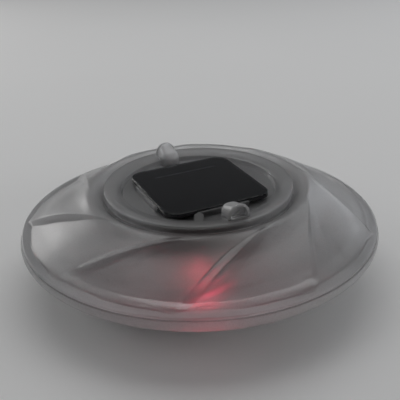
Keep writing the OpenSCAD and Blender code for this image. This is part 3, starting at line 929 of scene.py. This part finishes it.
def lit_lamp_material():
    look = Look("lit_red_lamp", roughness=0.25, base_color=(0.9, 0.06, 0.05))
    look.set("Emission Color", (1.0, 0.06, 0.09))
    glow = look.ramp(look.noise(250, 2), 5, 7)
    look.drive("Emission Strength", glow)
    return look.mat


def lamp_material(name, colour):
    look = Look(name, roughness=0.2, ior=1.5)
    look.set("Transmission Weight", 0.7)
    cloud = look.ramp(look.noise(200, 2), 0, 1)
    paler = tuple(min(1, c * 1.2) for c in colour)
    look.drive("Base Color", look.blend(cloud, colour, paler))
    look.bump((look.noise(600, 2), 0.01))
    return look.mat


def board_material():
    """Green solder mask with copper tracks showing through."""
    look = Look("solder_mask", roughness=0.3)
    brick = look.add("ShaderNodeTexBrick")
    brick.inputs["Scale"].default_value = 260
    brick.inputs["Mortar Size"].default_value = 0.035
    look.link(look.coords, brick.inputs["Vector"])
    cloud = look.noise(80, 3)
    mask = look.blend(look.ramp(cloud, 0, 1), (0.012, 0.10, 0.045), (0.02, 0.15, 0.07))
    look.drive("Base Color", look.blend(brick.outputs["Fac"], mask, (0.05, 0.24, 0.11)))
    look.bump((brick.outputs["Fac"], 0.03))
    return look.mat


def wrap_material():
    """Shrink sleeve of the cell, green with a paler band."""
    look = Look("cell_sleeve", roughness=0.32)
    split = look.add("ShaderNodeSeparateXYZ")
    look.link(look.coords, split.inputs["Vector"])
    band = look.ramp(split.outputs["X"], 0, 1, 14 * MM, 14.2 * MM)
    cloud = look.noise(90, 4)
    sleeve = look.blend(look.ramp(cloud, 0, 1), (0.04, 0.22, 0.10), (0.06, 0.28, 0.14))
    look.drive("Base Color", look.blend(band, sleeve, (0.7, 0.72, 0.7)))
    look.bump((look.noise(220, 3), 0.04))
    return look.mat


def floor_material():
    look = Look("pale_floor", roughness=0.75)
    cloud = look.ramp(look.noise(1.5, 3), 0, 1)
    look.drive("Base Color", look.blend(cloud, (0.86, 0.86, 0.855), (0.89, 0.89, 0.885)))
    return look.mat


def dress(obj, material):
    obj.data.materials.clear()
    obj.data.materials.append(material)


def dress_cad(node, material):
    for entry in nodes[node].material_slots:
        entry.material = material


# ---------------------------------------------------------------- build
def plastics():
    """The translucent plastics of the shells, the lid and the gasket."""
    # The dome and bowl carry painted red glow; the dome and lid carry painted shade patches
    dome_plastic = frosted("frosted_dome", (0.89, 0.89, 0.895), 0.92, 0.36, glow=(PAINTED_GLOW_SPOT, PAINTED_GLOW_STREAKS, HALO),
                           painted_shades=(PAINTED_SHADE_DOME, PAINTED_SHADE_RIM))
    bowl_plastic = frosted("frosted_bowl", (0.76, 0.76, 0.765), 0.6, 0.42,
                           glow=(FLOOR_GLOW, RIM_GLOW, HALO))
    lid_plastic = frosted("clear_lid", (0.8, 0.8, 0.805), 0.93, 0.37, solid_from=RING_TOP,
                          painted_shades=(PAINTED_SHADE_LID,))
    silicone = frosted("clear_silicone", (0.55, 0.555, 0.57), 0.1, 0.45, gloss=0)
    return dome_plastic, bowl_plastic, lid_plastic, silicone


def add_pieces():
    """The visible pieces: each replaces its CAD node and rides its body."""
    dome_plastic, bowl_plastic, lid_plastic, silicone = plastics()
    board_black = moulded("board_black", (0.012, 0.012, 0.014), 0.3, 0.01)
    silver = metal("ribbon_silver", (0.55, 0.56, 0.58), 0.35)
    pieces = [
        (build_dome(), dome_plastic, "hull", "upper_shell", "frosted_shell"),
        (build_bowl(), bowl_plastic, "hull", "lower_shell", "frosted_shell"),
        (build_seal(), silicone, "hull", "seam_gasket", "clear_silicone"),
        (build_lid(), lid_plastic, "lid", "lid", "lid_plastic"),
        (build_board(), board_black, "lid", "panel_board", "panel_black"),
        (build_wafer(), cell_material(), "lid", "solar_cell", "cell_black"),
        (build_ribbon(), silver, "lid", "cell_ribbon", "ribbon_silver"),
        (build_resin(), resin_material(), "lid", "panel_resin", "panel_resin"),
    ]
    for obj, material, body, node, slot in pieces:
        dress(obj, material)
        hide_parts(node)
        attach(obj, body)


def dress_inside():
    """Materials of the CAD nodes that are kept as they are."""
    rubber = moulded("seal_rubber", (0.02, 0.02, 0.022), 0.7, 0.02, 1200)
    dark = moulded("drum_plastic", (0.035, 0.035, 0.038), 0.45, 0.02, 1500)
    steel = metal("plated_steel", (0.62, 0.62, 0.63))
    brass = metal("contact_brass", (0.78, 0.57, 0.28))
    for node, material in {
        "module_housing": dark,
        "module_cover": dark,
        "module_gasket": rubber,
        "lid_seal": rubber,
        "housing_screws": steel,
        "board_screws": steel,
        "cover_screws": steel,
        "battery_spring": steel,
        "battery_contact": brass,
        "contact_pins": brass,
        "contact_rings": brass,
        "panel_leads": metal("tinned_copper", (0.75, 0.48, 0.32)),
        "circuit_board": board_material(),
        "board_components": moulded("chip_plastic", (0.03, 0.03, 0.032), 0.4),
        "battery_holder": moulded("holder_plastic", (0.025, 0.025, 0.025), 0.5),
        "battery_cell": wrap_material(),
        "switch_body": moulded("switch_case", (0.35, 0.36, 0.37), 0.4),
        "switch_slider": moulded("slider_plastic", (0.02, 0.02, 0.02), 0.45),
        "supply_wires": moulded("wire_sleeve", (0.5, 0.03, 0.025), 0.35, 0.01),
        "panel_pad": moulded("pad_foam", (0.08, 0.08, 0.08), 0.85, 0.08, 900),
        "led_red": lit_lamp_material(),
        "led_green": lamp_material("green_lamp", (0.45, 0.8, 0.5)),
        "led_blue": lamp_material("blue_lamp", (0.45, 0.55, 0.9)),
    }.items():
        dress_cad(node, material)


# ---------------------------------------------------------------- stage, camera and light
def link_new(name, data):
    obj = bpy.data.objects.new(name, data)
    bpy.context.scene.collection.objects.link(obj)
    return obj


def add_floor(reach=6.0):
    mesh = bpy.data.meshes.new("floor")
    corners = [(-reach, -reach, 0), (reach, -reach, 0), (reach, reach, 0), (-reach, reach, 0)]
    mesh.from_pydata(corners, [], [(0, 1, 2, 3)])
    floor = link_new("floor", mesh)
    dress(floor, floor_material())


def add_camera():
    """The view of the reference: from the front, looking down, tilted by a hair."""
    data = bpy.data.cameras.new("camera")
    data.sensor_width = 36
    data.lens = 58.5
    data.clip_start = 0.01
    camera = link_new("camera", data)
    x, y, over = CAMERA_PLACE
    camera.matrix_world = (Matrix.Translation((x, y, DEPTH * MM + over))
                           @ Matrix.Rotation(math.radians(90 - CAMERA_PITCH), 4, "X")
                           @ Matrix.Rotation(math.radians(-CAMERA_ROLL), 4, "Z"))
    bpy.context.scene.camera = camera


def soft_light(name, place, target, size, power, colour=(1, 1, 1)):
    data = bpy.data.lights.new(name, "AREA")
    data.shape = "RECTANGLE"
    data.size, data.size_y = size
    data.energy = power
    data.color = colour
    lamp = link_new(name, data)
    lamp.location = place
    aim = Vector(target) - Vector(place)
    lamp.rotation_euler = aim.to_track_quat("-Z", "Y").to_euler()


def add_lights():
    """Two windows behind, a weak key, a fill and a broad top light."""
    body = (0, 0, 0.03)
    soft_light("window_left", (-0.85, 0.75, 0.36), body, (0.55, 0.35), 1.6, (1.0, 0.99, 0.98))
    soft_light("window_right", (0.8, 0.85, 0.5), body, (0.7, 0.45), 1.1, (0.92, 0.95, 1.0))
    soft_light("key_left", (-0.7, -0.25, 0.55), body, (0.35, 0.35), 0.35)
    soft_light("fill_right", (0.95, -0.3, 0.3), body, (0.5, 0.4), 1.5)
    soft_light("top", (0.0, 0.45, 1.05), (0, 0, 0), (1.3, 1.0), 4.0)


def add_red_glow():
    """The small light of the lit lamp, inside under the module."""
    data = bpy.data.lights.new("red_glow", "POINT")
    data.energy = 0.003
    data.color = (1.0, 0.05, 0.09)
    data.shadow_soft_size = 0.004
    glow = link_new("red_glow", data)
    glow.location = (0, -0.006, (DEPTH - 18) * MM)


def add_world():
    world = bpy.data.worlds.new("studio")
    world.use_nodes = True
    background = world.node_tree.nodes["Background"]
    background.inputs["Color"].default_value = (0.97, 0.98, 1.0, 1)
    background.inputs["Strength"].default_value = 0.16
    bpy.context.scene.world = world
    bpy.context.scene.view_settings.view_transform = "Standard"


add_pieces()
dress_inside()
add_floor()
add_camera()
add_lights()
add_red_glow()
add_world()
